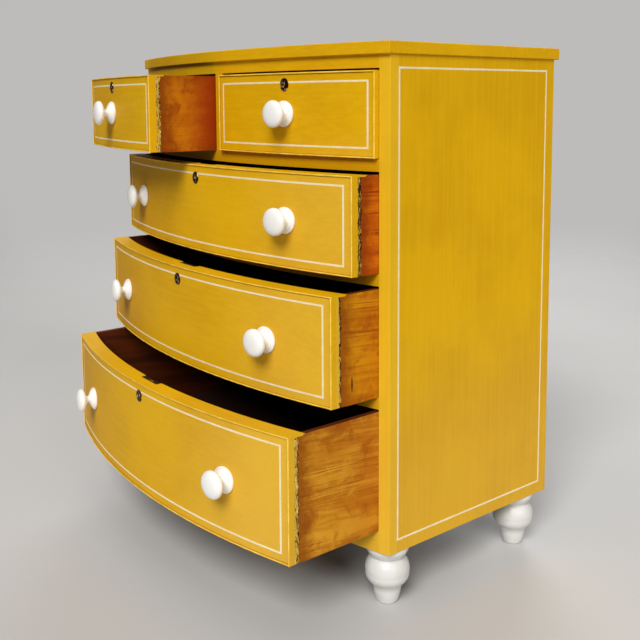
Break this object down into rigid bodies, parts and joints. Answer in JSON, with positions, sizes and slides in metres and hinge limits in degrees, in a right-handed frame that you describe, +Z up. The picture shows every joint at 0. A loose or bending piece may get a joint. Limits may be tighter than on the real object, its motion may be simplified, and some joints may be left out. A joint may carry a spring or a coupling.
{
  "type": "bow front chest of drawers",
  "caption": "Bow front chest of drawers with short drawers above long ones, cock beads, round knobs, keyhole plates and turned feet; the drawers slide and the lock bolts move",
  "frame": {"origin": "Middle of the floor rectangle under the box that holds the chest at rest, drawers open as stored, on the floor.", "axes": "+Z up, the bowed front looks along -Y, +X to the right of someone facing the front."},
  "size_m": [0.929, 0.763, 1.069],
  "materials": {
    "yellow_paint": "satin mustard yellow paint",
    "drawer_pine": "old waxed pine",
    "carcass_pine": "bare dusty pine",
    "white_gloss": "glossy white paint",
    "off_white_paint": "satin off-white paint",
    "aged_brass": "dull aged brass",
    "dark_iron": "dark worn iron"
  },
  "bodies": {
    "case": {"top_rail": "yellow_paint", "drawer_rail_1": "yellow_paint", "drawer_rail_2": "yellow_paint", "drawer_rail_3": "yellow_paint", "base_rail": "yellow_paint", "drawer_divider": "yellow_paint", "side_left": "yellow_paint", "side_right": "yellow_paint", "stiles": "yellow_paint", "runners": "carcass_pine", "centre_guide": "carcass_pine", "drawer_stops": "carcass_pine", "back_boards": "carcass_pine", "top_board": "yellow_paint", "feet": "off_white_paint", "foot_blocks": "carcass_pine"},
    "short_drawer_left": {"short_drawer_left_front": "yellow_paint", "short_drawer_left_cock_bead": "yellow_paint", "short_drawer_left_sides": "drawer_pine", "short_drawer_left_back": "drawer_pine", "short_drawer_left_bottom": "drawer_pine", "short_drawer_left_knob": "white_gloss", "short_drawer_left_escutcheon": "aged_brass", "short_drawer_left_lock": "dark_iron"},
    "short_drawer_left_bolt": {"short_drawer_left_lock_bolt": "aged_brass"},
    "short_drawer_right": {"short_drawer_right_front": "yellow_paint", "short_drawer_right_cock_bead": "yellow_paint", "short_drawer_right_sides": "drawer_pine", "short_drawer_right_back": "drawer_pine", "short_drawer_right_bottom": "drawer_pine", "short_drawer_right_knob": "white_gloss", "short_drawer_right_escutcheon": "aged_brass", "short_drawer_right_lock": "dark_iron"},
    "long_drawer_1": {"long_drawer_1_front": "yellow_paint", "long_drawer_1_cock_bead": "yellow_paint", "long_drawer_1_sides": "drawer_pine", "long_drawer_1_back": "drawer_pine", "long_drawer_1_bottom": "drawer_pine", "long_drawer_1_knobs": "white_gloss", "long_drawer_1_escutcheon": "aged_brass", "long_drawer_1_lock": "dark_iron"},
    "long_drawer_1_bolt": {"long_drawer_1_lock_bolt": "aged_brass"},
    "long_drawer_2": {"long_drawer_2_front": "yellow_paint", "long_drawer_2_cock_bead": "yellow_paint", "long_drawer_2_sides": "drawer_pine", "long_drawer_2_back": "drawer_pine", "long_drawer_2_bottom": "drawer_pine", "long_drawer_2_knobs": "white_gloss", "long_drawer_2_escutcheon": "aged_brass", "long_drawer_2_lock": "dark_iron"},
    "long_drawer_2_bolt": {"long_drawer_2_lock_bolt": "aged_brass"},
    "long_drawer_3": {"long_drawer_3_front": "yellow_paint", "long_drawer_3_cock_bead": "yellow_paint", "long_drawer_3_sides": "drawer_pine", "long_drawer_3_back": "drawer_pine", "long_drawer_3_bottom": "drawer_pine", "long_drawer_3_knobs": "white_gloss", "long_drawer_3_escutcheon": "aged_brass", "long_drawer_3_lock": "dark_iron"},
    "long_drawer_3_bolt": {"long_drawer_3_lock_bolt": "aged_brass"}
  },
  "joints": [
    {"name": "short_drawer_left_slide", "type": "slide", "parent": "case", "child": "short_drawer_left", "axis": [0, -1, 0], "range_m": [-0.156, 0.164]},
    {"name": "short_drawer_right_slide", "type": "slide", "parent": "case", "child": "short_drawer_right", "axis": [0, -1, 0], "range_m": [-0.008, 0.312]},
    {"name": "long_drawer_1_slide", "type": "slide", "parent": "case", "child": "long_drawer_1", "axis": [0, -1, 0], "range_m": [-0.061, 0.259]},
    {"name": "long_drawer_2_slide", "type": "slide", "parent": "case", "child": "long_drawer_2", "axis": [0, -1, 0], "range_m": [-0.109, 0.211]},
    {"name": "long_drawer_3_slide", "type": "slide", "parent": "case", "child": "long_drawer_3", "axis": [0, -1, 0], "range_m": [-0.204, 0.116]},
    {"name": "short_drawer_left_bolt_slide", "type": "slide", "parent": "short_drawer_left", "child": "short_drawer_left_bolt", "axis": [0, 0, 1], "range_m": [0, 0.01]},
    {"name": "long_drawer_1_bolt_slide", "type": "slide", "parent": "long_drawer_1", "child": "long_drawer_1_bolt", "axis": [0, 0, 1], "range_m": [0, 0.01]},
    {"name": "long_drawer_2_bolt_slide", "type": "slide", "parent": "long_drawer_2", "child": "long_drawer_2_bolt", "axis": [0, 0, 1], "range_m": [0, 0.01]},
    {"name": "long_drawer_3_bolt_slide", "type": "slide", "parent": "long_drawer_3", "child": "long_drawer_3_bolt", "axis": [0, 0, 1], "range_m": [0, 0.01]}
  ]
}
